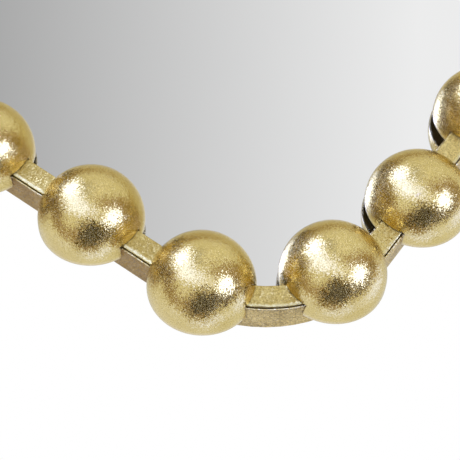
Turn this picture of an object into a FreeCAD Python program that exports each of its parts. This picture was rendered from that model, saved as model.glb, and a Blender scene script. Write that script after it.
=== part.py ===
# Arched wall mirror: a bent channel frame with half-round domes threaded over its front.
# The frame stands in the XZ plane, its front faces -Y, and the wall is the plane Y = 0.
# The origin lies on the wall plane, in the middle of the bottom rail.
import FreeCAD
import Part
import Sketcher
import math
import os
from FreeCAD import Placement, Rotation, Vector

doc = FreeCAD.newDocument("arched_mirror")

# Driving sizes in millimetres
SIZES = {
    # Frame centre line
    "centre_width": 543.0,
    "centre_height": 868.5,
    "corner_radius": 82.0,
    # Rail: a channel open to the front, closed by a strip that lies over its inner wall
    "rail_width": 16.0,
    "rail_depth": 21.5,
    "rail_wall": 1.0,
    "lip_drop": 0.9,
    "lip_round": 0.3,
    "seam_width": 0.45,
    "strip_thickness": 3.0,
    "strip_round": 1.2,
    # Domes
    "dome_count": 31,
    "dome_radius": 32.2,
    "dome_wall": 1.0,
    "dome_setback": 7.5,
    "dome_skirt": 2.4,
    "notch_clearance": 0.6,
    # Dome fixings
    "post_diameter": 10.0,
    "sleeve_diameter": 8.0,
    "dome_screw_diameter": 4.0,
    "dome_screw_bite": 9.0,
    "dome_head_diameter": 7.6,
    "dome_head_height": 2.2,
    "post_hole_spare": 2.0,
    # Glass, its ledge and its backing
    "mirror_setback": 15.7,
    "glass_thickness": 3.0,
    "glass_clearance": 1.0,
    "ledge_width": 3.4,
    "ledge_thickness": 1.2,
    "tape_width": 2.2,
    "tape_thickness": 0.8,
    "board_thickness": 2.4,
    # Retaining clips
    "clip_width": 14.0,
    "clip_thickness": 1.2,
    "clip_foot": 9.0,
    "clip_seat": 6.5,
    "clip_gap": 0.4,
    # Tapping screws
    "tapping_diameter": 3.5,
    "tapping_length": 8.0,
    "tapping_head_diameter": 6.4,
    "tapping_head_height": 1.8,
    "cross_arm": 1.9,
    "cross_half_width": 0.4,
    "cross_depth": 1.1,
    "hole_clearance": 0.1,
    # Hangers
    "strap_width": 12.0,
    "strap_thickness": 1.0,
    "strap_length": 41.0,
    "strap_end_margin": 6.0,
    "strap_screw_spacing": 12.0,
    "ring_wire": 2.4,
    "ring_width": 16.8,
    "ring_screw_gap": 1.6,
    "ring_bend": 2.6,
    "ring_clearance": 0.2,
    # Wall pads
    "pad_diameter": 12.0,
    "pad_thickness": 5.0,
}

# A dome sits halfway between two such places
HALF = 0.5

# How far off a plane an edge may lie and still count as in it
SAME_PLANE = 1e-6

# Most of the straight side that a ring's bend may take
RING_BEND_SHARE = 0.9

# Places between two domes: how many domes lie between them and the bottom middle
CLIP_DOME_COUNTS = (2, 5, 8, 11, 14)
PAD_DOME_COUNTS = (4, 12)
HANGER_DOME_COUNT = 10

# The domes at the lower right corner are set by hand: shares of the dome radius,
# first along the rail, then across it, outward counted positive
HAND_SET_SHARES = {
    0: (-0.12, 0.01),
    1: (-0.02, -0.05),
    2: (-0.04, -0.10),
    3: (0.15, -0.26),
    4: (0.07, 0.01),
    5: (0.14, 0.00),
    6: (0.08, 0.00),
    7: (0.03, 0.00),
}

sizes = doc.addObject("Spreadsheet::Sheet", "sizes")
for row, (alias, value) in enumerate(SIZES.items(), start=1):
    sizes.set(f"A{row}", alias)
    sizes.set(f"B{row}", str(value))
    sizes.setAlias(f"B{row}", alias)
doc.recompute()

parts = []


def size(expression):
    """The value of an expression on the sheet, as a plain number."""
    value = sizes.evalExpression(expression)
    return float(getattr(value, "Value", value))


# Expressions that more than one piece reads, seen from the sheet itself
RAIL_BACK = "pad_thickness"
RAIL_FRONT = "(pad_thickness + rail_depth)"
HALF_RAIL = "rail_width / 2"
OUTER_HEIGHT = "(rail_depth - lip_drop)"
INNER_HEIGHT = "(rail_depth - strip_thickness)"
SLEEVE_LENGTH = "(rail_depth - rail_wall - strip_thickness)"
STRIP_EDGE = "(rail_width / 2 - rail_wall - seam_width)"
GLASS_EDGE = "(rail_width / 2 + glass_clearance)"
GLASS_BACK = "(mirror_setback + glass_thickness)"
BOARD_BACK = "(mirror_setback + glass_thickness + board_thickness)"
STRIP_HOLE = "(dome_screw_diameter / 2 + hole_clearance)"
TAPPING_HOLE = "(tapping_diameter / 2 + hole_clearance)"
WIRE_HEIGHT = "(strap_thickness + ring_clearance + ring_wire / 2)"
STRAP_SCREW_DROPS = (
    "strap_length - strap_end_margin - strap_screw_spacing",
    "strap_length - strap_end_margin",
)
RING_HEIGHT = (
    f"({STRAP_SCREW_DROPS[0]} - tapping_head_diameter / 2 - ring_screw_gap - ring_wire / 2)"
)
RING_BEND = f"min(ring_bend; {RING_BEND_SHARE} * ({RING_HEIGHT} - ring_width / 2))"


def on_sheet(expression):
    """The same expression for an object outside the sheet."""
    words = []
    word = ""
    for letter in expression + " ":
        if letter.isalnum() or letter == "_":
            word += letter
            continue
        words.append(f"sizes.{word}" if word in SIZES else word)
        words.append(letter)
        word = ""
    return "".join(words).strip()


def bind(item, path, expression):
    """Bind one property to an expression on the sheet."""
    item.setExpression(path, on_sheet(expression))


def keep(item, label):
    """Give a finished piece the name of its file."""
    item.Label = label
    parts.append(item)
    return item


# The frame's centre line
def centre_line():
    """Lengths of the centre line's stretches: half bottom, corner, side, half arch."""
    half = size("centre_width / 2")
    corner = size("corner_radius")
    side = size("centre_height - centre_width / 2 - corner_radius")
    return half - corner, math.pi / 2 * corner, side, math.pi / 2 * half


def path_length():
    """Length of the whole centre line."""
    return 2 * sum(centre_line())


def rail_place(distance):
    """Point and heading on the centre line, from the bottom middle to the right and up."""
    whole = path_length()
    distance = distance % whole
    mirrored = distance > whole / 2
    if mirrored:
        distance = whole - distance
    bottom, bend, side, _ = centre_line()
    half = size("centre_width / 2")
    corner = size("corner_radius")
    spring = size("centre_height - centre_width / 2")
    if distance < bottom:
        x, z, heading = distance, 0.0, 0.0
    elif distance < bottom + bend:
        heading = (distance - bottom) / corner
        x = bottom + corner * math.sin(heading)
        z = corner - corner * math.cos(heading)
    elif distance < bottom + bend + side:
        x, z, heading = half, corner + distance - bottom - bend, math.pi / 2
    else:
        turn = (distance - bottom - bend - side) / half
        heading = math.pi / 2 + turn
        x = half * math.cos(turn)
        z = spring + half * math.sin(turn)
    if mirrored:
        return -x, z, -heading
    return x, z, heading


def placed(distance, depth, along=0.0, across=0.0):
    """Placement on the rail: local X follows the rail, local Z points into the mirror."""
    x, z, heading = rail_place(distance + along)
    outward = Vector(math.sin(heading), 0, -math.cos(heading))
    point = Vector(x, -depth, z) + outward * across
    return Placement(point, Rotation(Vector(0, -1, 0), math.degrees(heading)))


def distance_past(domes_passed):
    """Distance along the centre line after so many domes, halfway to the next one."""
    return domes_passed * path_length() / size("dome_count")


def both_sides(dome_counts):
    """The same places on the right and on the left of the middle."""
    whole = round(size("dome_count"))
    return list(dome_counts) + [whole - count for count in dome_counts]


def dome_distance(index):
    """Distance along the centre line to a dome's even place."""
    return distance_past(index + HALF)


def dome_numbers():
    return range(round(size("dome_count")))


# Drawing helpers
def body(name):
    return doc.addObject("PartDesign::Body", name)


def sketch_on(owner, name, role="XZ_Plane"):
    """A sketch on one of the body's own origin planes."""
    sketch = owner.newObject("Sketcher::SketchObject", name)
    plane = next(item for item in owner.Origin.OriginFeatures if item.Role == role)
    sketch.AttachmentSupport = [(plane, "")]
    sketch.MapMode = "FlatFace"
    return sketch


def constrain(sketch, kind, where, expression):
    """Add one measured constraint that follows the sheet."""
    index = sketch.addConstraint(Sketcher.Constraint(kind, *where, size(expression)))
    sketch.renameConstraint(index, f"{kind.lower()}_{index}")
    bind(sketch, f"Constraints.{kind.lower()}_{index}", expression)


def arch_outline(sketch, offset, width="centre_width", height="centre_height", corner="corner_radius"):
    """A flat-bottomed arch with rounded lower corners, offset outward from its centre line."""
    out = size(offset)
    half = size(width) / 2
    bend = size(corner)
    spring = size(height) - half
    flat = half - bend
    normal = Vector(0, 0, 1)

    def line(start, end):
        return Part.LineSegment(Vector(*start, 0), Vector(*end, 0))

    def arc(centre, radius, start, end):
        circle = Part.Circle(Vector(*centre, 0), normal, radius)
        return Part.ArcOfCircle(circle, math.radians(start), math.radians(end))

    curves = [
        line((-flat, -out), (flat, -out)),
        arc((flat, bend), bend + out, -90, 0),
        line((half + out, bend), (half + out, spring)),
        arc((0, spring), half + out, 0, 180),
        line((-half - out, spring), (-half - out, bend)),
        arc((-flat, bend), bend + out, 180, 270),
    ]
    ids = sketch.addGeometry(curves, False)
    for here, after in zip(ids, ids[1:] + ids[:1]):
        sketch.addConstraint(Sketcher.Constraint("Tangent", here, 2, after, 1))
    right, top, left = ids[1], ids[3], ids[5]
    constrain(sketch, "DistanceX", (-1, 1, right, 3), f"{width} / 2 - {corner}")
    constrain(sketch, "DistanceY", (-1, 1, right, 3), corner)
    constrain(sketch, "Radius", (right,), f"{corner} + {offset}")
    constrain(sketch, "DistanceX", (left, 3, -1, 1), f"{width} / 2 - {corner}")
    constrain(sketch, "DistanceY", (-1, 1, left, 3), corner)
    constrain(sketch, "Radius", (left,), f"{corner} + {offset}")
    sketch.addConstraint(Sketcher.Constraint("PointOnObject", top, 3, -2))
    constrain(sketch, "DistanceY", (-1, 1, top, 3), f"{height} - {width} / 2")
    constrain(sketch, "Radius", (top,), f"{width} / 2 + {offset}")


def pad(owner, sketch, name, length, both_ways=False):
    """Extrude a sketch along its normal."""
    feature = owner.newObject("PartDesign::Pad", name)
    feature.Profile = sketch
    bind(feature, "Length", length)
    feature.Midplane = both_ways
    return feature


def pocket_through(owner, sketch, name):
    """Cut a sketch right through the body, both ways."""
    feature = owner.newObject("PartDesign::Pocket", name)
    feature.Profile = sketch
    feature.Type = "ThroughAll"
    feature.Midplane = True
    return feature


def circles(sketch, centres, radius):
    """Equal circles on given centres."""
    first = None
    for x, z in centres:
        circle = Part.Circle(Vector(x, z, 0), Vector(0, 0, 1), size(radius))
        index = sketch.addGeometry(circle, False)
        sketch.addConstraint(Sketcher.Constraint("DistanceX", -1, 1, index, 3, x))
        sketch.addConstraint(Sketcher.Constraint("DistanceY", -1, 1, index, 3, z))
        if first is None:
            first = index
            constrain(sketch, "Radius", (index,), radius)
        else:
            sketch.addConstraint(Sketcher.Constraint("Equal", first, index))


def polygon(sketch, points):
    """A closed outline through points whose two coordinates follow the sheet."""
    values = [Vector(size(x), size(y), 0) for x, y in points]
    ends = zip(values, values[1:] + values[:1])
    ids = sketch.addGeometry([Part.LineSegment(start, end) for start, end in ends], False)
    for here, after in zip(ids, ids[1:] + ids[:1]):
        sketch.addConstraint(Sketcher.Constraint("Coincident", here, 2, after, 1))
    for index, point in zip(ids, points):
        for kind, axis, expression in (("DistanceX", -2, point[0]), ("DistanceY", -1, point[1])):
            if size(expression) == 0:
                sketch.addConstraint(Sketcher.Constraint("PointOnObject", index, 1, axis))
            elif size(expression) > 0:
                constrain(sketch, kind, (-1, 1, index, 1), expression)
            else:
                constrain(sketch, kind, (index, 1, -1, 1), f"-({expression})")


def front_edges(feature, depth):
    """Names of the edges that lie in the plane furthest to the front."""
    doc.recompute()
    names = []
    for number, edge in enumerate(feature.Shape.Edges, start=1):
        box = edge.BoundBox
        if box.YMax < -depth + SAME_PLANE:
            names.append(f"Edge{number}")
    return names


def ring(label, outer, inner, thickness, depth):
    """A flat ring that follows the frame between two offsets of the centre line."""
    owner = body(f"{label}_body")
    outline = sketch_on(owner, f"{label}_outline")
    arch_outline(outline, outer)
    arch_outline(outline, inner)
    pad(owner, outline, f"{label}_pad", thickness)
    bind(owner, "Placement.Base.y", f"-({depth})")
    return owner


def panel(label, edge, thickness, depth):
    """A flat panel that fills the frame up to an offset of the centre line."""
    owner = body(f"{label}_body")
    outline = sketch_on(owner, f"{label}_outline")
    arch_outline(outline, f"-{edge}")
    pad(owner, outline, f"{label}_pad", thickness)
    bind(owner, "Placement.Base.y", f"-({depth})")
    return keep(owner, label)


def copies(blank, places, name):
    """One compound of linked copies of a blank piece."""
    links = []
    for number, place in enumerate(places, start=1):
        link = doc.addObject("App::Link", f"{name}_copy_{number:02d}")
        link.LinkedObject = blank
        link.Placement = place
        links.append(link)
    group = doc.addObject("Part::Compound", name)
    group.Links = links
    return group


# Frame channel: a bent channel, open to the front, with a hole behind each dome
def frame_channel():
    owner = body("frame_channel_body")
    stretches = (
        ("web", HALF_RAIL, f"-{HALF_RAIL}", "rail_wall"),
        ("inner_wall", f"-({HALF_RAIL} - rail_wall)", f"-{HALF_RAIL}", INNER_HEIGHT),
        ("outer_wall", HALF_RAIL, f"({HALF_RAIL} - rail_wall)", OUTER_HEIGHT),
    )
    for name, outer, inner, length in stretches:
        outline = sketch_on(owner, f"channel_{name}_outline")
        arch_outline(outline, outer)
        arch_outline(outline, inner)
        last = pad(owner, outline, f"channel_{name}", length)
    rounding = owner.newObject("PartDesign::Fillet", "channel_lip")
    rounding.Base = (last, front_edges(last, size(OUTER_HEIGHT)))
    bind(rounding, "Radius", "lip_round")
    holes = sketch_on(owner, "channel_dome_holes_outline")
    circles(holes, [rail_place(dome_distance(index))[:2] for index in dome_numbers()], STRIP_HOLE)
    pocket_through(owner, holes, "channel_dome_holes")
    tapped = sketch_on(owner, "channel_tapped_holes_outline")
    circles(tapped, tapped_places(), TAPPING_HOLE)
    pocket_through(owner, tapped, "channel_tapped_holes")
    bind(owner, "Placement.Base.y", f"-{RAIL_BACK}")
    return keep(owner, "frame_channel")


def hanger_height():
    """Height of the hangers' pivot line, so that strap and ring share one gap."""
    middle = rail_place(distance_past(HANGER_DOME_COUNT))[1]
    return middle + size(f"(strap_length - {RING_HEIGHT}) / 2")


def hanger_screw_heights():
    return [hanger_height() - size(drop) for drop in STRAP_SCREW_DROPS]


def tapped_places():
    """Centres of the tapping screws in the channel's back."""
    places = [rail_place(distance_past(count))[:2] for count in both_sides(CLIP_DOME_COUNTS)]
    half = size("centre_width / 2")
    for height in hanger_screw_heights():
        places += [(half, height), (-half, height)]
    return places


# Front strip: the granular face between the domes, from the seam at the outer lip
# to the inner side of the frame
def front_strip():
    owner = ring("front_strip", STRIP_EDGE, f"-{HALF_RAIL}", "strip_thickness",
                 f"{RAIL_FRONT} - strip_thickness")
    solid = owner.Tip
    rounding = owner.newObject("PartDesign::Fillet", "front_strip_edges")
    rounding.Base = (solid, front_edges(solid, size("strip_thickness")))
    bind(rounding, "Radius", "strip_round")
    holes = sketch_on(owner, "front_strip_holes_outline")
    circles(holes, [rail_place(dome_distance(index))[:2] for index in dome_numbers()], STRIP_HOLE)
    pocket_through(owner, holes, "front_strip_holes")
    return keep(owner, "front_strip")


# Domes: pressed half balls with a short straight skirt, notched where the rail passes
def dome_blank():
    owner = body("dome_blank")
    profile = sketch_on(owner, "dome_profile", "XY_Plane")
    radius = size("dome_radius")
    inside = radius - size("dome_wall")
    skirt = size("dome_skirt")
    normal = Vector(0, 0, 1)

    def quarter(reach):
        return Part.ArcOfCircle(Part.Circle(Vector(), normal, reach), -math.pi / 2, 0)

    def line(start, end):
        return Part.LineSegment(Vector(*start, 0), Vector(*end, 0))

    outer, outer_skirt, rim, inner_skirt, inner, crown = profile.addGeometry([
        quarter(radius),
        line((radius, 0), (radius, skirt)),
        line((radius, skirt), (inside, skirt)),
        line((inside, skirt), (inside, 0)),
        quarter(inside),
        line((0, -inside), (0, -radius)),
    ], False)
    join = profile.addConstraint
    join(Sketcher.Constraint("Coincident", outer, 3, -1, 1))
    join(Sketcher.Constraint("Coincident", inner, 3, -1, 1))
    join(Sketcher.Constraint("PointOnObject", outer, 1, -2))
    join(Sketcher.Constraint("PointOnObject", inner, 1, -2))
    join(Sketcher.Constraint("PointOnObject", outer, 2, -1))
    join(Sketcher.Constraint("PointOnObject", inner, 2, -1))
    join(Sketcher.Constraint("Coincident", outer, 2, outer_skirt, 1))
    join(Sketcher.Constraint("Coincident", outer_skirt, 2, rim, 1))
    join(Sketcher.Constraint("Coincident", rim, 2, inner_skirt, 1))
    join(Sketcher.Constraint("Coincident", inner_skirt, 2, inner, 2))
    join(Sketcher.Constraint("Coincident", inner, 1, crown, 1))
    join(Sketcher.Constraint("Coincident", crown, 2, outer, 1))
    join(Sketcher.Constraint("Vertical", outer_skirt))
    join(Sketcher.Constraint("Vertical", inner_skirt))
    join(Sketcher.Constraint("Horizontal", rim))
    constrain(profile, "Radius", (outer,), "dome_radius")
    constrain(profile, "Radius", (inner,), "dome_radius - dome_wall")
    constrain(profile, "DistanceY", (outer_skirt, 1, outer_skirt, 2), "dome_skirt")
    turn = owner.newObject("PartDesign::Revolution", "dome_shell")
    turn.Profile = profile
    turn.ReferenceAxis = (profile, ["V_Axis"])
    turn.Angle = 360
    return owner


def dome_place(index):
    """Where a dome's centre sits: on its even place, or a little off it by hand."""
    along, across = HAND_SET_SHARES.get(index, (0.0, 0.0))
    radius = size("dome_radius")
    depth = size(f"{RAIL_FRONT} - dome_setback")
    return placed(dome_distance(index), depth, along * radius, across * radius)


def domes():
    blank = dome_blank()
    edge = f"({HALF_RAIL} + notch_clearance)"
    notch = ring("dome_notch", edge, f"-{edge}", "rail_depth + notch_clearance", RAIL_BACK)
    for index in dome_numbers():
        link = doc.addObject("App::Link", f"dome_shell_{index + 1:02d}")
        link.LinkedObject = blank
        link.Placement = dome_place(index)
        cut = doc.addObject("Part::Cut", f"dome_cut_{index + 1:02d}")
        cut.Base = link
        cut.Tool = notch
        keep(cut, f"dome_{index + 1:02d}")


# Dome posts: one round post from the strip to the inside of each crown
def dome_posts():
    blank = body("post_blank")
    outline = sketch_on(blank, "post_outline")
    circles(outline, [(0, 0)], "post_diameter / 2")
    pad(blank, outline, "post_pad", "dome_radius")
    hole = sketch_on(blank, "post_hole_outline")
    circles(hole, [(0, 0)], STRIP_HOLE)
    bore = blank.newObject("PartDesign::Pocket", "post_hole")
    bore.Profile = hole
    bore.Reversed = True
    bind(bore, "Length", "dome_screw_bite + post_hole_spare")
    depth = size(RAIL_FRONT)
    posts = copies(blank, [placed(dome_distance(index), depth) for index in dome_numbers()], "post_row")
    room = doc.addObject("Part::Sphere", "dome_room")
    bind(room, "Radius", "dome_radius - dome_wall")
    rooms = copies(room, [dome_place(index) for index in dome_numbers()], "dome_rooms")
    trimmed = doc.addObject("Part::Common", "dome_posts_trimmed")
    trimmed.Base = posts
    trimmed.Tool = rooms
    return keep(trimmed, "dome_posts")


# Spacer sleeves: tubes that carry the strip on the channel's back
def spacer_sleeves():
    blank = body("sleeve_blank")
    outline = sketch_on(blank, "sleeve_outline")
    circles(outline, [(0, 0)], "sleeve_diameter / 2")
    bore = sketch_on(blank, "sleeve_bore_outline")
    circles(bore, [(0, 0)], STRIP_HOLE)
    pad(blank, outline, "sleeve_pad", SLEEVE_LENGTH)
    pocket_through(blank, bore, "sleeve_bore")
    depth = size("pad_thickness + rail_wall")
    places = [placed(dome_distance(index), depth) for index in dome_numbers()]
    return keep(copies(blank, places, "sleeve_row"), "spacer_sleeves")


# Screws: a shank towards the front, and a flat round head with a cross recess
def screw_blank(name, diameter, length, head_diameter, head_height):
    owner = body(name)
    shank = sketch_on(owner, f"{name}_shank_outline")
    circles(shank, [(0, 0)], f"{diameter} / 2")
    pad(owner, shank, f"{name}_shank", length)
    head = sketch_on(owner, f"{name}_head_outline")
    circles(head, [(0, 0)], f"{head_diameter} / 2")
    cap = pad(owner, head, f"{name}_head", head_height)
    cap.Reversed = True
    recess = sketch_on(owner, f"{name}_recess_outline")
    wide, arm = "cross_half_width", "cross_arm"
    corners = ((wide, arm), (wide, wide), (arm, wide))
    points = []
    for sign_x, sign_y, order in ((1, 1, 1), (1, -1, -1), (-1, -1, 1), (-1, 1, -1)):
        for x, y in corners[::order]:
            points.append((f"{sign_x} * {x}", f"{sign_y} * {y}"))
    polygon(recess, points)
    recess.setExpression("AttachmentOffset.Base.z", on_sheet(f"-{head_height}"))
    drive = owner.newObject("PartDesign::Pocket", f"{name}_recess")
    drive.Profile = recess
    drive.Reversed = True
    bind(drive, "Length", "cross_depth")
    return owner


def dome_screws():
    length = f"{SLEEVE_LENGTH} + rail_wall + strip_thickness + dome_screw_bite"
    blank = screw_blank("dome_screw", "dome_screw_diameter", length,
                        "dome_head_diameter", "dome_head_height")
    places = [placed(dome_distance(index), size(RAIL_BACK)) for index in dome_numbers()]
    return keep(copies(blank, places, "dome_screw_row"), "dome_screws")


def tapping_screws():
    blank = screw_blank("tapping_screw", "tapping_diameter", "tapping_length",
                        "tapping_head_diameter", "tapping_head_height")
    depth = size(f"{RAIL_BACK} - clip_thickness")
    places = [placed(distance_past(count), depth) for count in both_sides(CLIP_DOME_COUNTS)]
    keep(copies(blank, places, "clip_screw_row"), "clip_screws")
    depth = size(f"{RAIL_BACK} - strap_thickness")
    half = size("centre_width / 2")
    places = []
    for height in hanger_screw_heights():
        for side in (half, -half):
            places.append(Placement(Vector(side, -depth, height), Rotation()))
    keep(copies(blank, places, "hanger_screw_row"), "hanger_screws")


# Glass: it lies behind a ledge inside the channel, on a soft tape, with a board behind it
def glass_and_backing():
    inner = f"-({HALF_RAIL} + ledge_width)"
    ledge_back = f"{RAIL_FRONT} - mirror_setback + tape_thickness"
    keep(ring("glass_ledge", f"-{HALF_RAIL}", inner, "ledge_thickness", ledge_back), "glass_ledge")
    tape_inner = f"-({HALF_RAIL} + glass_clearance + tape_width)"
    tape_back = f"{RAIL_FRONT} - mirror_setback"
    keep(ring("glass_tape", f"-{GLASS_EDGE}", tape_inner, "tape_thickness", tape_back), "glass_tape")
    panel("mirror_glass", GLASS_EDGE, "glass_thickness", f"{RAIL_FRONT} - {GLASS_BACK}")
    panel("backing_board", GLASS_EDGE, "board_thickness", f"{RAIL_FRONT} - {BOARD_BACK}")


# Retaining clips: stepped plates, screwed to the channel's back, that press on the board
def retaining_clips():
    blank = body("clip_blank")
    profile = sketch_on(blank, "clip_profile", "YZ_Plane")
    step = f"(rail_depth - {BOARD_BACK})"
    leg = f"({HALF_RAIL} + clip_gap)"
    toe = f"({leg} + clip_foot)"
    thick = "clip_thickness"
    polygon(profile, [
        ("0", "-clip_seat"),
        ("0", leg),
        (f"-{step}", leg),
        (f"-{step}", toe),
        (f"{thick} - {step}", toe),
        (f"{thick} - {step}", f"{leg} + {thick}"),
        (thick, f"{leg} + {thick}"),
        (thick, "-clip_seat"),
    ])
    pad(blank, profile, "clip_pad", "clip_width", both_ways=True)
    hole = sketch_on(blank, "clip_hole_outline")
    circles(hole, [(0, 0)], TAPPING_HOLE)
    pocket_through(blank, hole, "clip_hole")
    back = size(RAIL_BACK)
    places = [placed(distance_past(count), back) for count in both_sides(CLIP_DOME_COUNTS)]
    return keep(copies(blank, places, "clip_row"), "retaining_clips")


# Hangers: a strap with a rolled eye on each side rail, and a ring that swings in the eye
def hanger(side_name, side):
    eye_radius = "(ring_wire / 2 + ring_clearance)"
    label = f"hanger_strap_{side_name}"
    plate = doc.addObject("Part::Box", f"{label}_plate")
    bind(plate, "Length", "strap_width")
    bind(plate, "Width", "strap_thickness")
    bind(plate, "Height", "strap_length")
    bind(plate, "Placement.Base.x", "-strap_width / 2")
    bind(plate, "Placement.Base.z", "-strap_length")
    eye = doc.addObject("Part::Cylinder", f"{label}_eye")
    bind(eye, "Radius", f"{eye_radius} + strap_thickness")
    bind(eye, "Height", "strap_width")
    bore = doc.addObject("Part::Cylinder", f"{label}_bore")
    bind(bore, "Radius", eye_radius)
    bind(bore, "Height", "strap_width")
    for item in (eye, bore):
        item.Placement.Rotation = Rotation(Vector(0, 1, 0), 90)
        bind(item, "Placement.Base.x", "-strap_width / 2")
        bind(item, "Placement.Base.y", WIRE_HEIGHT)
    blank = doc.addObject("Part::Fuse", f"{label}_rolled")
    blank.Base = plate
    blank.Tool = eye
    drills = [bore]
    for number, drop in enumerate(STRAP_SCREW_DROPS):
        drill = doc.addObject("Part::Cylinder", f"{label}_drill_{number}")
        drill.Placement.Rotation = Rotation(Vector(1, 0, 0), -90)
        bind(drill, "Radius", TAPPING_HOLE)
        bind(drill, "Height", "strap_thickness")
        bind(drill, "Placement.Base.z", f"-({drop})")
        drills.append(drill)
    tools = doc.addObject("Part::Compound", f"{label}_drills")
    tools.Links = drills
    strap = doc.addObject("Part::Cut", f"{label}_cut")
    strap.Base = blank
    strap.Tool = tools
    half = size("centre_width / 2")
    strap.Placement = Placement(Vector(side * half, -size(RAIL_BACK), hanger_height()), Rotation())
    keep(strap, label)

    owner = body(f"d_ring_{side_name}_body")
    path = sketch_on(owner, f"d_ring_{side_name}_path")
    arch_outline(path, "0", "ring_width", RING_HEIGHT, RING_BEND)
    section = sketch_on(owner, f"d_ring_{side_name}_section", "YZ_Plane")
    circles(section, [(0, 0)], "ring_wire / 2")
    bind(section, "AttachmentOffset.Base.z", f"{RING_BEND} - ring_width / 2")
    wire = owner.newObject("PartDesign::AdditivePipe", f"d_ring_{side_name}_wire")
    wire.Profile = section
    wire.Spine = path
    depth = size(f"{RAIL_BACK} - {WIRE_HEIGHT}")
    upside_down = Rotation(Vector(0, 1, 0), 180)
    owner.Placement = Placement(Vector(side * half, -depth, hanger_height()), upside_down)
    keep(owner, f"d_ring_{side_name}")


# Wall pads: soft round pads that keep the screw heads and rings off the wall
def wall_pads():
    blank = body("pad_blank")
    outline = sketch_on(blank, "pad_outline")
    circles(outline, [(0, 0)], "pad_diameter / 2")
    pad(blank, outline, "pad_block", "pad_thickness")
    places = [placed(distance_past(count), 0.0) for count in [0] + both_sides(PAD_DOME_COUNTS)]
    return keep(copies(blank, places, "pad_row"), "wall_pads")


frame_channel()
front_strip()
domes()
dome_posts()
spacer_sleeves()
dome_screws()
glass_and_backing()
retaining_clips()
tapping_screws()
hanger("right", 1)
hanger("left", -1)
wall_pads()

doc.recompute()
for item in doc.Objects:
    if "Invalid" in item.State or "Error" in item.State:
        raise RuntimeError(f"{item.Name} did not build: {item.State}")
os.makedirs("parts", exist_ok=True)
for item in parts:
    if item.Shape.isNull() or not item.Shape.isValid():
        raise RuntimeError(f"{item.Label} has no valid shape")
    item.Shape.exportStep(f"parts/{item.Label}.step")
    print(item.Label, len(item.Shape.Solids), round(item.Shape.Volume, 1))
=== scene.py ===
"""Looks of the arched wall mirror: leafed half-ball domes threaded on a gold rail."""
import math

import bpy
from mathutils import Matrix, Vector


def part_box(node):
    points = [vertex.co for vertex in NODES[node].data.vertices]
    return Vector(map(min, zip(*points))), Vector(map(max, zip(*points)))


MM = 0.001
NOISE_SPAN = (0.3, 0.7)

# The frame's centre line, as the solids have it: an arch from the spring up, rounded corners below
CENTRE_WIDTH = 543.0 * MM
CENTRE_HEIGHT = 868.5 * MM
CORNER_RADIUS = 82.0 * MM
SPRING = CENTRE_HEIGHT - CENTRE_WIDTH / 2

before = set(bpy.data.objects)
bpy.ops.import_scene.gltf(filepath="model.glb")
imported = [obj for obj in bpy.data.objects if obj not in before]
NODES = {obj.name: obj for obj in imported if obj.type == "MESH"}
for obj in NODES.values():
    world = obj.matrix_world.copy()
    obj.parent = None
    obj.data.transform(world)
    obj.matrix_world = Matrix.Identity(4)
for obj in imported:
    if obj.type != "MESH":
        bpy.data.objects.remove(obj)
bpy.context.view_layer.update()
DOMES = [name for name in sorted(NODES) if name[:5] == "dome_" and name[5:].isdigit()]


# ---------------------------------------------------------------- node helpers

def rgb(red, green, blue):
    return (red, green, blue, 1.0)


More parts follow.
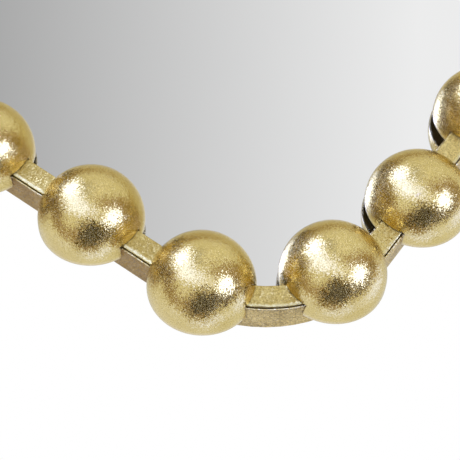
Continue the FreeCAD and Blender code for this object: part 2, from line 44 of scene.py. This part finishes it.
class Tree:
    """A material's or world's node tree, with short calls that add and link nodes."""

    def __init__(self, tree):
        self.tree = tree
        self.tree.nodes.clear()

    def add(self, kind, **settings):
        node = self.tree.nodes.new(kind)
        for key, value in settings.items():
            setattr(node, key, value)
        return node

    def put(self, socket, value):
        if isinstance(value, bpy.types.NodeSocket):
            self.tree.links.new(value, socket)
        else:
            socket.default_value = value

    def math(self, operation, *values, clamp=False):
        node = self.add("ShaderNodeMath", operation=operation, use_clamp=clamp)
        for socket, value in zip(node.inputs, values):
            self.put(socket, value)
        return node.outputs[0]

    def vector(self, operation, *values):
        node = self.add("ShaderNodeVectorMath", operation=operation)
        for socket, value in zip(node.inputs, values):
            self.put(socket, value)
        is_number = operation in ("LENGTH", "DOT_PRODUCT", "DISTANCE")
        return node.outputs["Value" if is_number else "Vector"]

    def scaled(self, vector, factor):
        node = self.add("ShaderNodeVectorMath", operation="SCALE")
        self.put(node.inputs[0], vector)
        self.put(node.inputs["Scale"], factor)
        return node.outputs[0]

    def split(self, vector):
        """The X, Y and Z of a vector."""
        node = self.add("ShaderNodeSeparateXYZ")
        self.put(node.inputs[0], vector)
        return node.outputs

    def normal(self):
        """The X, Y and Z of the piece's own surface normal."""
        return self.split(self.add("ShaderNodeTexCoord").outputs["Normal"])

    def mapped(self, value, low, high, out_low=0.0, out_high=1.0, kind="SMOOTHSTEP"):
        node = self.add("ShaderNodeMapRange", interpolation_type=kind)
        for socket, number in zip(node.inputs, (value, low, high, out_low, out_high)):
            self.put(socket, number)
        return node.outputs[0]

    def mix(self, factor, first, second, blend="MIX"):
        node = self.add("ShaderNodeMix", data_type="RGBA", blend_type=blend)
        self.put(node.inputs[0], factor)
        self.put(node.inputs[6], first)
        self.put(node.inputs[7], second)
        return node.outputs[2]

    def noise(self, place, size, detail=2.0, rough=0.5, stretch=None):
        """Noise whose features are about size metres across, at the place given."""
        if stretch:
            place = self.vector("MULTIPLY", place, stretch)
        node = self.add("ShaderNodeTexNoise")
        self.put(node.inputs["Vector"], place)
        self.put(node.inputs["Scale"], 1.0 / size)
        self.put(node.inputs["Detail"], detail)
        self.put(node.inputs["Roughness"], rough)
        return node.outputs["Fac"]

    def noisy(self, value, low, high):
        """The usual span of a noise, laid over low to high."""
        return self.mapped(value, *NOISE_SPAN, low, high)

    def cells(self, place, size):
        """Random cells of about size metres, each with a colour and a middle of its own."""
        node = self.add("ShaderNodeTexVoronoi")
        self.put(node.inputs["Vector"], place)
        self.put(node.inputs["Scale"], 1.0 / size)
        return node.outputs

    def bump(self, height, depth, normal=None):
        """Bump whose height, from 0 to 1, stands for depth metres."""
        node = self.add("ShaderNodeBump")
        self.put(node.inputs["Strength"], 1.0)
        self.put(node.inputs["Distance"], depth)
        self.put(node.inputs["Height"], height)
        if normal is not None:
            self.put(node.inputs["Normal"], normal)
        return node.outputs[0]


def linked(sockets, name):
    """What already feeds the shader's socket of that name."""
    return sockets[name].links[0].from_socket


def new_material(name):
    material = bpy.data.materials.new(name)
    material.use_nodes = True
    tree = Tree(material.node_tree)
    shader = tree.add("ShaderNodeBsdfPrincipled")
    output = tree.add("ShaderNodeOutputMaterial")
    tree.put(output.inputs["Surface"], shader.outputs[0])
    place = tree.add("ShaderNodeTexCoord").outputs["Object"]
    return material, tree, shader.inputs, place


def dress(names, material):
    for name in names:
        node = NODES[name]
        node.data.materials.clear()
        node.data.materials.append(material)


# ---------------------------------------------------------------- gold leaf

# Light and deep are the leaf's two tones, grain the size of its facets, slope their steepest tilt,
# crumple the depth of its soft dents and rough the range of its roughness.
DOME_LEAF = {
    "light": rgb(0.86, 0.70, 0.285), "deep": rgb(0.74, 0.58, 0.21),
    "grain": 0.50 * MM, "slope": 0.146, "crumple": 0.018 * MM, "rough": (0.09, 0.14)}
STRIP_LEAF = {
    "light": rgb(1.0, 0.83, 0.33), "deep": rgb(0.62, 0.465, 0.145),
    "grain": 0.70 * MM, "slope": 0.26, "crumple": 0.03 * MM, "rough": (0.30, 0.42)}
CHANNEL_LEAF = {
    "light": rgb(0.90, 0.69, 0.265), "deep": rgb(0.35, 0.245, 0.088),
    "grain": 0.70 * MM, "slope": 0.48, "crumple": 0.05 * MM, "rough": (0.26, 0.40)}

# The mottle between the two tones: shares of fine noise, broad patches and the facets' lots
FINE_SHARE = 0.4
BROAD_SHARE = 0.3
CHANCE_SHARE = 0.3
BROAD_SIZE = 22 * MM
MOTTLE_SPAN = (0.34, 0.66)

THIN_LEAF = rgb(0.66, 0.54, 0.42)
THIN_SIZE = 9 * MM
THIN_SPAN = (0.66, 0.74)
THIN_MOST = 0.35
SPECK = rgb(0.12, 0.08, 0.03)
SPECK_SPAN = (0.68, 0.76)
SPECK_MOST = 0.6

# A facet's tilt along each axis: its lot, from -0.5 to 0.5, times base plus tail times lot squared
TILT_BASE = (0.8, 0.8, 0.8)
TILT_TAIL = (4.8, 4.8, 4.8)
HALF = (0.5, 0.5, 0.5)
MEAN = (0.333, 0.333, 0.333)

DOME_RUBBED = rgb(0.90, 0.79, 0.55)
DOME_EDGE = rgb(0.80, 0.74, 0.60)
# The dome's inside: dark, matt and not metal
DOME_DARK_INSIDE = rgb(0.36, 0.31, 0.17)
DARK_INSIDE_MATTER = 0.4
DARK_INSIDE_TURN = 0.06
RIM_RAGGED = {"size": 1.5 * MM, "rough": 0.6, "width": 1.2 * MM}
RIM_WORN_MOST = 0.4
RIM_WORN_FROM = 2.8 * MM
RIM_EDGE_FROM = 0.5 * MM
RIM_EDGE_FULL = 0.1 * MM

# A worn pale band along the strip's outer edge, which is also a painted highlight
STRIP_WEAR_AND_HIGHLIGHT = rgb(1.0, 0.90, 0.44)
STRIP_RAGGED = {"size": 0.9 * MM, "rough": 0.7, "width": 2.4 * MM}
STRIP_WEAR_AND_HIGHLIGHT_MOST = 0.85
STRIP_WEAR_AND_HIGHLIGHT_FROM = 5.2 * MM
STRIP_WEAR_AND_HIGHLIGHT_FULL = 6.4 * MM
EASE_FROM = 4.0 * MM
EASE_WIDTH = 1.4 * MM
EASE_BEND = 0.14 / MM
STRIP_SIDE_TURN = (-0.5, -0.15)

# Painted shade for the seam between strip and channel: the strip's sides and the channel's inside
SEAM_SHADE = rgb(0.40, 0.28, 0.10)
# Painted shade: brown on the faces that look down
CHANNEL_UNDERSIDE_SHADE = rgb(0.28, 0.13, 0.01)
UNDERSIDE_TURN = (-0.99, -0.86)
UNDERSIDE_SHADE_MOST = 0.60
# The channel's front lip, worn pale, which is also a painted highlight
CHANNEL_LIP_WEAR_AND_HIGHLIGHT = rgb(1.0, 0.86, 0.46)
LIP_TURN = (-0.75, -0.35)
CHANNEL_INSIDE = 7.2 * MM


def facets(tree, place, size, slope):
    """Height in metres of tiny flat facets, most of them tilted little and a few up to the slope."""
    grain = tree.cells(place, size)
    lot = tree.vector("SUBTRACT", grain["Color"], HALF)
    square = tree.vector("MULTIPLY", lot, lot)
    tilt = tree.vector("MULTIPLY", lot, tree.vector("MULTIPLY_ADD", square, TILT_TAIL, TILT_BASE))
    away = tree.vector("SUBTRACT", place, grain["Position"])
    height = tree.vector("DOT_PRODUCT", tilt, away)
    return tree.math("MULTIPLY", height, slope), grain["Color"]


def leaf_colour(tree, place, light, deep, grain, lottery):
    """Mottled between the two tones, worn thin in patches and specked."""
    fine = tree.math("MULTIPLY", tree.noise(place, 1.6 * grain, rough=0.55), FINE_SHARE)
    broad = tree.math("MULTIPLY", tree.noise(place, BROAD_SIZE), BROAD_SHARE)
    chance = tree.math("MULTIPLY", tree.vector("DOT_PRODUCT", lottery, MEAN), CHANCE_SHARE)
    blend = tree.math("ADD", tree.math("ADD", fine, broad), chance)
    colour = tree.mix(tree.mapped(blend, *MOTTLE_SPAN), deep, light)
    patches = tree.noise(place, THIN_SIZE, detail=4.0, rough=0.65)
    colour = tree.mix(tree.mapped(patches, *THIN_SPAN, out_high=THIN_MOST), colour, THIN_LEAF)
    dots = tree.noise(place, 1.1 * grain, detail=1.0)
    return tree.mix(tree.mapped(dots, *SPECK_SPAN, out_high=SPECK_MOST), colour, SPECK)


def leaf_gold(name, light, deep, grain, slope, crumple, rough):
    """Gold-coloured metal leaf: burnished khaki, of tiny facets that sparkle, patchy and specked."""
    material, tree, sockets, place = new_material(name)
    height, lottery = facets(tree, place, grain, slope)
    dents = tree.noise(place, 7.0 * grain, detail=3.0, rough=0.55)
    tree.put(sockets["Base Color"], leaf_colour(tree, place, light, deep, grain, lottery))
    sockets["Metallic"].default_value = 1.0
    tree.put(sockets["Roughness"], tree.noisy(dents, *rough))
    tree.put(sockets["Normal"], tree.bump(height, 1.0, tree.bump(dents, crumple)))
    return material, tree, sockets, place


def ragged(tree, place, value, size, rough, width):
    """The value plus noise, so that a border which follows it is ragged by up to the width."""
    return tree.math("ADD", value, tree.math("MULTIPLY", tree.noise(place, size, rough=rough), width))


def dome_gold():
    """Leafed outside, rubbed to pale metal towards the rim, and dark, matt and not metal inside."""
    material, tree, sockets, place = leaf_gold("dome_leaf", **DOME_LEAF)
    leafed = linked(sockets, "Base Color")
    gloss = linked(sockets, "Roughness")
    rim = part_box(DOMES[0])[1].y
    depth = tree.split(place)["Y"]
    worn = tree.mapped(ragged(tree, place, depth, **RIM_RAGGED),
                       rim - RIM_WORN_FROM, rim - RIM_EDGE_FROM, out_high=RIM_WORN_MOST)
    end = tree.mapped(depth, rim - RIM_EDGE_FROM, rim - RIM_EDGE_FULL)
    # Faces that look back into the hollow are made dark, matt and not metal
    backward = tree.math("GREATER_THAN", tree.normal()["Y"], DARK_INSIDE_TURN)
    inner = tree.math("MULTIPLY", backward, tree.math("SUBTRACT", 1.0, end))
    rubbed = tree.mix(worn, leafed, DOME_RUBBED)
    edged = tree.mix(end, rubbed, DOME_EDGE)
    tree.put(sockets["Base Color"], tree.mix(inner, edged, DOME_DARK_INSIDE))
    tree.put(sockets["Metallic"], tree.math("SUBTRACT", 1.0, inner))
    tree.put(sockets["Roughness"], tree.math("ADD", gloss, tree.math("MULTIPLY", inner, DARK_INSIDE_MATTER)))
    return material


def off_centre_line(tree, place):
    """Distance in metres outward from the frame's centre line, an arch with rounded corners."""
    parts = tree.split(place)
    side = tree.math("SUBTRACT", tree.math("ABSOLUTE", parts["X"]), CENTRE_WIDTH / 2 - CORNER_RADIUS)
    under = tree.math("SUBTRACT", CORNER_RADIUS, parts["Z"])
    corner = tree.add("ShaderNodeCombineXYZ")
    tree.put(corner.inputs["X"], tree.math("MAXIMUM", side, 0.0))
    tree.put(corner.inputs["Y"], tree.math("MAXIMUM", under, 0.0))
    bend = tree.vector("LENGTH", corner.outputs[0])
    flat = tree.math("MINIMUM", tree.math("MAXIMUM", side, under), 0.0)
    lower = tree.math("SUBTRACT", tree.math("ADD", bend, flat), CORNER_RADIUS)
    from_spring = tree.vector("SUBTRACT", place, (0.0, 0.0, SPRING))
    reach = tree.vector("LENGTH", tree.vector("MULTIPLY", from_spring, (1.0, 0.0, 1.0)))
    upper = tree.math("SUBTRACT", reach, CENTRE_WIDTH / 2)
    above = tree.math("GREATER_THAN", parts["Z"], SPRING)
    below = tree.math("SUBTRACT", 1.0, above)
    return tree.math("ADD", tree.math("MULTIPLY", upper, above), tree.math("MULTIPLY", lower, below))


def turned_from_front(tree, low, high):
    """0 where the surface looks to the front, rising to 1 as it turns sideways."""
    return tree.mapped(tree.normal()["Y"], low, high)


def eased_edge(tree, out):
    """Height in metres that bends the strip's face away towards its outer edge."""
    past = tree.math("MAXIMUM", tree.math("SUBTRACT", out, EASE_FROM), 0.0)
    past = tree.math("MINIMUM", past, EASE_WIDTH)
    return tree.math("MULTIPLY", tree.math("MULTIPLY", past, past), -EASE_BEND)


def strip_gold():
    """Coarser, matter leaf, worn pale along its outer edge with a painted highlight there, and painted
    shade down its sides.
    """
    material, tree, sockets, place = leaf_gold("strip_leaf", **STRIP_LEAF)
    out = off_centre_line(tree, place)
    # Worn pale towards the outer edge, and there also a painted highlight
    worn = tree.mapped(ragged(tree, place, out, **STRIP_RAGGED),
                       STRIP_WEAR_AND_HIGHLIGHT_FROM, STRIP_WEAR_AND_HIGHLIGHT_FULL, out_high=STRIP_WEAR_AND_HIGHLIGHT_MOST)
    rubbed = tree.mix(worn, linked(sockets, "Base Color"), STRIP_WEAR_AND_HIGHLIGHT)
    # The strip's sides, down in the seam, get painted shade
    side = turned_from_front(tree, *STRIP_SIDE_TURN)
    tree.put(sockets["Base Color"], tree.mix(side, rubbed, SEAM_SHADE))
    tree.put(sockets["Normal"], tree.bump(eased_edge(tree, out), 1.0, linked(sockets, "Normal")))
    return material


def channel_gold():
    """Duller leaf over the channel, with painted shade brown underneath, its front lip worn pale with a
    painted highlight, and painted shade inside.
    """
    material, tree, sockets, place = leaf_gold("channel_leaf", **CHANNEL_LEAF)
    # Faces that look down get painted shade, brown
    under = tree.mapped(tree.normal()["Z"], *UNDERSIDE_TURN, UNDERSIDE_SHADE_MOST, 0.0)
    leafed = tree.mix(under, linked(sockets, "Base Color"), CHANNEL_UNDERSIDE_SHADE)
    # Where the lip faces the front it is worn pale, and is also a painted highlight
    lip = tree.math("SUBTRACT", 1.0, turned_from_front(tree, *LIP_TURN))
    rubbed = tree.mix(lip, leafed, CHANNEL_LIP_WEAR_AND_HIGHLIGHT)
    # The channel's inside, down in the seam, gets painted shade
    away = tree.math("ABSOLUTE", off_centre_line(tree, place))
    inside = tree.math("LESS_THAN", away, CHANNEL_INSIDE)
    tree.put(sockets["Base Color"], tree.mix(inside, rubbed, SEAM_SHADE))
    return material


# ------------------------------------------------------------- other materials

SILVER = (rgb(0.925, 0.93, 0.93), rgb(0.94, 0.94, 0.94))
BOARD = (rgb(0.20, 0.105, 0.05), rgb(0.36, 0.21, 0.11))
BOARD_FLECK = rgb(0.10, 0.05, 0.025)
STEEL = (rgb(0.50, 0.50, 0.51), rgb(0.42, 0.41, 0.40))
SCREW_ZINC = (rgb(0.66, 0.67, 0.69), rgb(0.60, 0.58, 0.54))
CLIP_ZINC = (rgb(0.62, 0.63, 0.65), rgb(0.56, 0.55, 0.52))
RING_WIRE = (rgb(0.64, 0.64, 0.65), rgb(0.58, 0.57, 0.55))
FLOOR = (rgb(0.86, 0.84, 0.77), rgb(0.90, 0.88, 0.81))

FLECK_SPAN = (0.64, 0.70)
FLECK_MOST = 0.6
GRAIN_ALONG_Z = (1.0, 1.0, 0.35)
SCRATCHES_ALONG_Z = (1.0, 1.0, 0.15)


def mirror_silver():
    """Silvered glass: a clean mirror with the faintest bloom."""
    material, tree, sockets, place = new_material("mirror_silver")
    bloom = tree.noise(place, 90 * MM, detail=3.0, rough=0.6)
    tree.put(sockets["Base Color"], tree.mix(bloom, *SILVER))
    sockets["Metallic"].default_value = 1.0
    tree.put(sockets["Roughness"], tree.mapped(bloom, 0.3, 0.8, 0.0, 0.012))
    return material


def plated_steel(name, tones, rough):
    """Metal with a soft bloom between its two tones and fine scratches."""
    material, tree, sockets, place = new_material(name)
    bloom = tree.noise(place, 4 * MM, detail=3.0, rough=0.6)
    scratches = tree.noise(place, 0.5 * MM, rough=0.6, stretch=SCRATCHES_ALONG_Z)
    tree.put(sockets["Base Color"], tree.mix(bloom, *tones))
    sockets["Metallic"].default_value = 1.0
    tree.put(sockets["Roughness"], tree.noisy(scratches, rough - 0.08, rough + 0.1))
    tree.put(sockets["Normal"], tree.bump(scratches, 0.01 * MM))
    return material


def hardboard():
    """Brown pressed board with fibres and darker flecks."""
    material, tree, sockets, place = new_material("pressed_board")
    fibres = tree.noise(place, 1.2 * MM, detail=4.0, rough=0.7, stretch=GRAIN_ALONG_Z)
    flecks = tree.mapped(tree.noise(place, 2.0 * MM, detail=1.0), *FLECK_SPAN, out_high=FLECK_MOST)
    tree.put(sockets["Base Color"], tree.mix(flecks, tree.mix(fibres, *BOARD), BOARD_FLECK))
    tree.put(sockets["Roughness"], tree.noisy(fibres, 0.5, 0.75))
    tree.put(sockets["Normal"], tree.bump(fibres, 0.05 * MM))
    return material


def soft_black(name, tone, rough, grain):
    """Black foam or rubber with pores of the grain's size."""
    material, tree, sockets, place = new_material(name)
    pores = tree.noise(place, grain, detail=3.0, rough=0.6)
    light = 1.8 * tone
    tree.put(sockets["Base Color"], tree.mix(pores, rgb(tone, tone, tone), rgb(light, light, light)))
    tree.put(sockets["Roughness"], tree.noisy(pores, rough - 0.08, rough + 0.08))
    tree.put(sockets["Normal"], tree.bump(pores, 0.04 * MM))
    return material


# ---------------------------------------------------------------------- studio

# Each light or dark of the room lies along a line between two directions, given as azimuth and
# elevation in degrees. Its gain is full within the first angle of that line and gone at the second.
ROOM_LEVEL = 0.751
DARKEST = 0.03
LAMPS = (
    ((57, 15), (55, 7), 6, 21, 2.3),
    ((-55, 10), (-53, 5), 4, 20, 1.9),
    ((104, 39), (119, -54), 12, 24, 0.37),
    ((163, -41), (-129, -35), 22, 44, 0.08),
    ((-58, -78), (-44, -73), 14, 36, 0.28),
)
LOW_BAND = (
    ((-59, -3), (-31, -12), 5, 26, 0.70),
    ((-32, -27), (-8, -28), 5, 15, 0.46),
    ((1, -15), (21, -8), 5, 23, 0.48),
)
DARKS = (
    ((60, -43), (82, -58), 17, 38, 0.88),
    ((-71, -8), (-72, -74), 5, 24, 0.68),
    ((-100, 2), (-140, 56), 14, 38, 0.84),
    ((75, -15), (89, 45), 8, 18, 0.68),
    ((44, 36), (72, 50), 6, 20, 0.42),
    ((34, -76), (49, -67), 8, 29, 0.68),
    ((20, 5), (35, 22), 7, 22, 0.37),
)

# Light that is reflected more than once meets a streak and darks of its own, and no low band
MORE_THAN_ONCE = 2.5
STREAK = ((-53, 4), (-36, 15), 3, 9, 1.8)
LATER_DARKS = (
    ((-50, -17), (-52, -48), 7, 18, 0.62),
    ((-70, 27), (-81, 2), 5, 14, 0.80),
    ((-62, 48), (0, 60), 12, 36, 0.10),
)

# The room's colour goes from amber to cream over one span of levels, and to a lamp's blue over
# another; behind the wall, towards +Y, it turns blue at lower levels
AMBER = rgb(1.0, 0.68, 0.31)
CREAM = rgb(1.0, 1.0, 0.93)
CREAM_SPAN = (0.26, 0.73)
LAMP_BLUE = rgb(1.0, 1.17, 2.35)
BLUE_SPAN = (0.84, 1.30)
BEHIND_SPAN = (0.0, 0.35)
BEHIND_GAIN = 0.14
LATER_BLUE = rgb(1.0, 1.22, 2.7)
LATER_BLUE_SPAN = (0.70, 1.25)
LATER_FILTER = rgb(0.94, 0.88, 0.67)

# The pane is where the photographed mirror looks: a plain wall there, washed with light from one side
PANE = ((-18.4, 27.3), (-18.4, 27.3), 14, 24, 1.0)
WASH_RUN = (0.8125, 0.0469, 0.5811)
WASH_SPAN = (-0.184, 0.147)
WASH_LEVELS = (0.425, 0.90)


def direction(azimuth, elevation):
    """Unit vector: azimuth 0 looks out of the wall, 90 towards +X; elevation is up."""
    a = math.radians(azimuth)
    e = math.radians(elevation)
    return Vector((math.sin(a) * math.cos(e), -math.cos(a) * math.cos(e), math.sin(e)))


def lobe(tree, ray, strip):
    """Gain within inner degrees of the line from start to end, falling to 0 at outer degrees."""
    start, end, inner, outer, gain = strip
    first = direction(*start)
    run = direction(*end) - first
    near = tuple(first)
    if run.length > 0:
        away = tree.vector("SUBTRACT", ray, tuple(first))
        along = tree.vector("DOT_PRODUCT", away, tuple(run))
        share = tree.math("DIVIDE", along, run.length_squared, clamp=True)
        near = tree.vector("ADD", tree.scaled(tuple(run), share), tuple(first))
    gap = tree.vector("DISTANCE", ray, near)
    reach = [2 * math.sin(math.radians(angle) / 2) for angle in (inner, outer)]
    return tree.mapped(gap, *reach, gain, 0.0)


def strongest(tree, ray, strips):
    """The largest gain of several strips."""
    most = 0.0
    for strip in strips:
        most = tree.math("MAXIMUM", lobe(tree, ray, strip), most)
    return most


def brightness(tree, ray, again):
    """The room's level along a ray."""
    once = tree.math("SUBTRACT", 1.0, again)
    level = ROOM_LEVEL
    for lamp in LAMPS:
        level = tree.math("ADD", lobe(tree, ray, lamp), level)
    for lamp in LOW_BAND:
        level = tree.math("ADD", tree.math("MULTIPLY", lobe(tree, ray, lamp), once), level)
    level = tree.math("ADD", tree.math("MULTIPLY", lobe(tree, ray, STREAK), again), level)
    later = tree.math("MULTIPLY", strongest(tree, ray, LATER_DARKS), again)
    shade = tree.math("MAXIMUM", strongest(tree, ray, DARKS), later)
    return tree.math("MAXIMUM", tree.math("SUBTRACT", level, shade), DARKEST)


def room_colour(tree, ray, level, again):
    """Amber where the room is dim, cream where it is lit, and cool in the lamps and behind the wall."""
    warm = tree.mix(tree.mapped(level, *CREAM_SPAN), AMBER, CREAM)
    behind = tree.mapped(tree.split(ray)["Y"], *BEHIND_SPAN, out_high=BEHIND_GAIN)
    cool = tree.mapped(tree.math("ADD", level, behind), *BLUE_SPAN)
    first = tree.mix(cool, warm, LAMP_BLUE)
    later = tree.mix(tree.mapped(level, *LATER_BLUE_SPAN), warm, LATER_BLUE)
    later = tree.mix(1.0, later, LATER_FILTER, "MULTIPLY")
    return tree.mix(again, first, later)


def wall_wash(tree, ray):
    across = tree.vector("DOT_PRODUCT", ray, WASH_RUN)
    wash = tree.mapped(across, *WASH_SPAN, *WASH_LEVELS, kind="LINEAR")
    return tree.scaled((1.0, 1.0, 1.0), wash)


def studio():
    """A room with a soft key on the right, a window on the left and a low light band, white to the eye."""
    world = bpy.data.worlds.new("studio")
    world.use_nodes = True
    bpy.context.scene.world = world
    tree = Tree(world.node_tree)
    ray = tree.add("ShaderNodeTexCoord").outputs["Generated"]
    path = tree.add("ShaderNodeLightPath").outputs
    again = tree.math("GREATER_THAN", path["Ray Depth"], MORE_THAN_ONCE)
    level = brightness(tree, ray, again)
    hall = tree.scaled(room_colour(tree, ray, level, again), level)
    room = tree.add("ShaderNodeBackground")
    tree.put(room.inputs["Color"], tree.mix(lobe(tree, ray, PANE), hall, wall_wash(tree, ray)))
    white = tree.add("ShaderNodeBackground")
    white.inputs["Color"].default_value = rgb(1.0, 1.0, 1.0)
    both = tree.add("ShaderNodeMixShader")
    tree.put(both.inputs[0], path["Is Camera Ray"])
    tree.put(both.inputs[1], room.outputs[0])
    tree.put(both.inputs[2], white.outputs[0])
    tree.put(tree.add("ShaderNodeOutputWorld").inputs["Surface"], both.outputs[0])


# ---------------------------------------------------------------- floor, camera

FLOOR_SIZE = 12.0
FLOOR_PLACE = (0.0, -2.0, -1.3)

CAMERA_PLACE = (0.40255, -0.65198, -0.29985)
CAMERA_FORWARD = (-0.27974, 0.84315, 0.45917)
CAMERA_UP = (-0.51144, -0.53563, 0.67196)
CAMERA_LENS = 97.867
CAMERA_SENSOR = 36.0


def floor():
    """A plain pale floor, a wall mirror's height below the part."""
    bpy.ops.mesh.primitive_plane_add(size=FLOOR_SIZE, location=FLOOR_PLACE)
    plane = bpy.context.object
    plane.name = "floor"
    material, tree, sockets, place = new_material("pale_floor")
    cloud = tree.noise(place, 0.6, detail=3.0)
    tree.put(sockets["Base Color"], tree.mix(cloud, *FLOOR))
    tree.put(sockets["Roughness"], tree.noisy(cloud, 0.6, 0.75))
    plane.data.materials.append(material)
    plane.visible_glossy = False


def camera():
    """The photograph's view: close to the lower right corner, from below, rolled 41 degrees."""
    data = bpy.data.cameras.new("camera")
    data.sensor_width = CAMERA_SENSOR
    data.lens = CAMERA_LENS
    data.clip_start = 0.01
    data.clip_end = 50.0
    eye = bpy.data.objects.new("camera", data)
    bpy.context.scene.collection.objects.link(eye)
    forward = Vector(CAMERA_FORWARD).normalized()
    right = forward.cross(Vector(CAMERA_UP)).normalized()
    up = right.cross(forward)
    turn = Matrix((right, up, -forward)).transposed()
    eye.matrix_world = Matrix.Translation(CAMERA_PLACE) @ turn.to_4x4()
    bpy.context.scene.camera = eye


def view_settings():
    settings = bpy.context.scene.view_settings
    settings.view_transform = "Standard"
    settings.look = "None"
    settings.exposure = 0.0
    settings.gamma = 1.0


# ------------------------------------------------------------------------ main

camera()
view_settings()
studio()
floor()

dress(DOMES, dome_gold())
dress(["front_strip"], strip_gold())
dress(["frame_channel", "glass_ledge"], channel_gold())
dress(["mirror_glass"], mirror_silver())
dress(["backing_board"], hardboard())
dress(["glass_tape"], soft_black("foam_tape", 0.02, 0.8, 0.6 * MM))
dress(["wall_pads"], soft_black("pad_rubber", 0.03, 0.55, 0.8 * MM))
dress(["dome_posts", "spacer_sleeves"], plated_steel("plain_steel", STEEL, 0.4))
dress(["dome_screws", "clip_screws", "hanger_screws"], plated_steel("zinc_screws", SCREW_ZINC, 0.3))
dress(["retaining_clips", "hanger_strap_right", "hanger_strap_left"],
      plated_steel("zinc_clips", CLIP_ZINC, 0.36))
dress(["d_ring_right", "d_ring_left"], plated_steel("ring_wire", RING_WIRE, 0.24))
